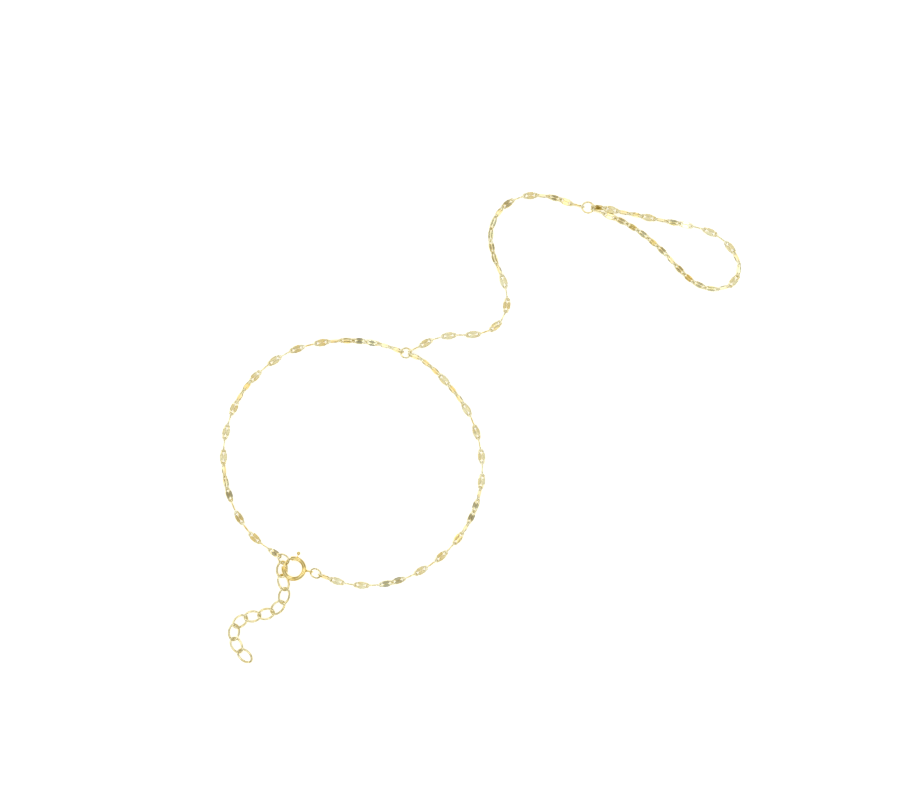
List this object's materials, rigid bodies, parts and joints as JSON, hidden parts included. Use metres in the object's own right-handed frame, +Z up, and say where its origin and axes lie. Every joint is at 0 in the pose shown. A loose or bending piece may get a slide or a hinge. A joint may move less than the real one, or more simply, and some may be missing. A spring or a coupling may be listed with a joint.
{
  "type": "hand chain",
  "caption": "Gold hand chain: a bracelet of pressed lip links, a connector chain to a finger loop, an extender and a spring-ring clasp.",
  "frame": {"origin": "middle of the footprint, on the surface that the chain lies on", "axes": "+X along the longer side of the footprint, from the bracelet towards the finger loop; +Y from the extender towards the connector; +Z up from the surface"},
  "size_m": [0.1043, 0.0942, 0.0023],
  "materials": {
    "gold": "polished"
  },
  "bodies": {
    "hand_chain": {"bracelet_chain_left": "gold", "bracelet_chain_right": "gold", "connector_chain": "gold", "finger_chain": "gold", "extender_chain": "gold", "junction_ring": "gold", "finger_ring": "gold", "end_ring": "gold", "tail_ring": "gold", "clasp_body": "gold"},
    "trigger": {"clasp_trigger": "gold"}
  },
  "joints": [
    {"name": "clasp_pull", "type": "hinge", "parent": "hand_chain", "child": "trigger", "pos_m": [-0.0374, -0.0283, 0.00135], "axis": [0, 0, -1], "range_deg": [0, 58], "stiffness_Nm_per_rad": 0.001, "springref_deg": -28.65}
  ]
}
